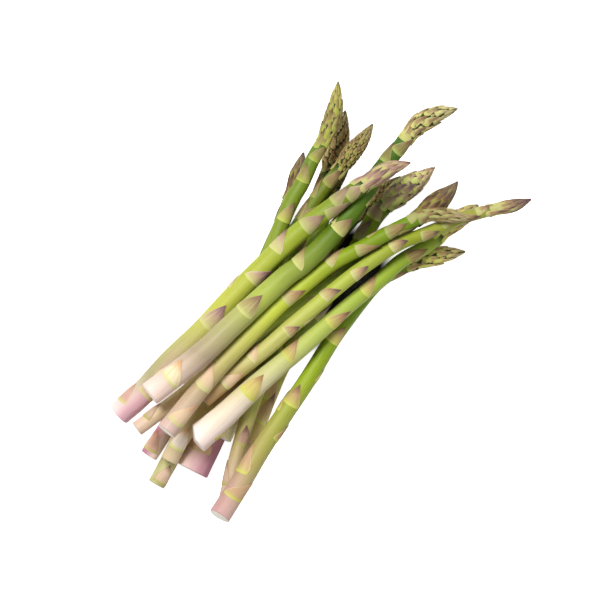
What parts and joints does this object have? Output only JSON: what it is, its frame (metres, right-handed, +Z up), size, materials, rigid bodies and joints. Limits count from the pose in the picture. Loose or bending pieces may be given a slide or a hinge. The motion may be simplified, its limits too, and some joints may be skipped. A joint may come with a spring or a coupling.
{
  "type": "asparagus bunch",
  "caption": "Loose bunch of fresh green asparagus spears lying in a heap, cut butts at one end and pointed scaly tips at the other.",
  "frame": {"origin": "on the table, in the middle of the bunch's length and width", "axes": "+X along the spears from the butts to the tips, +Y to the left of that, +Z up from the table"},
  "size_m": [0.2649, 0.124, 0.0597],
  "materials": {
    "spear_left_1_skin": "waxy plant skin, yellow-green with purple-brown scales",
    "spear_left_2_skin": "waxy plant skin, yellow-green with purple-brown scales",
    "spear_left_3_skin": "waxy plant skin, yellow-green with purple-brown scales",
    "spear_left_4_skin": "waxy plant skin, yellow-green with purple-brown scales",
    "spear_left_5_skin": "waxy plant skin, yellow-green with purple-brown scales",
    "spear_mid_1_skin": "waxy plant skin, yellow-green with purple-brown scales",
    "spear_mid_2_skin": "waxy plant skin, yellow-green with purple-brown scales",
    "spear_mid_3_skin": "waxy plant skin, yellow-green with purple-brown scales",
    "spear_right_skin": "waxy plant skin, yellow-green with purple-brown scales",
    "spear_top_1_skin": "waxy plant skin, yellow-green with purple-brown scales",
    "spear_top_2_skin": "waxy plant skin, yellow-green with purple-brown scales",
    "spear_top_3_skin": "waxy plant skin, yellow-green with purple-brown scales",
    "spear_top_4_skin": "waxy plant skin, yellow-green with purple-brown scales",
    "spear_top_5_skin": "waxy plant skin, yellow-green with purple-brown scales"
  },
  "bodies": {
    "root": {"spear_left_1": "spear_left_1_skin", "spear_left_2": "spear_left_2_skin", "spear_left_3": "spear_left_3_skin", "spear_left_4": "spear_left_4_skin", "spear_left_5": "spear_left_5_skin", "spear_mid_1": "spear_mid_1_skin", "spear_mid_2": "spear_mid_2_skin", "spear_mid_3": "spear_mid_3_skin", "spear_right": "spear_right_skin", "spear_top_1": "spear_top_1_skin", "spear_top_2": "spear_top_2_skin", "spear_top_3": "spear_top_3_skin", "spear_top_4": "spear_top_4_skin", "spear_top_5": "spear_top_5_skin"}
  },
  "joints": []
}
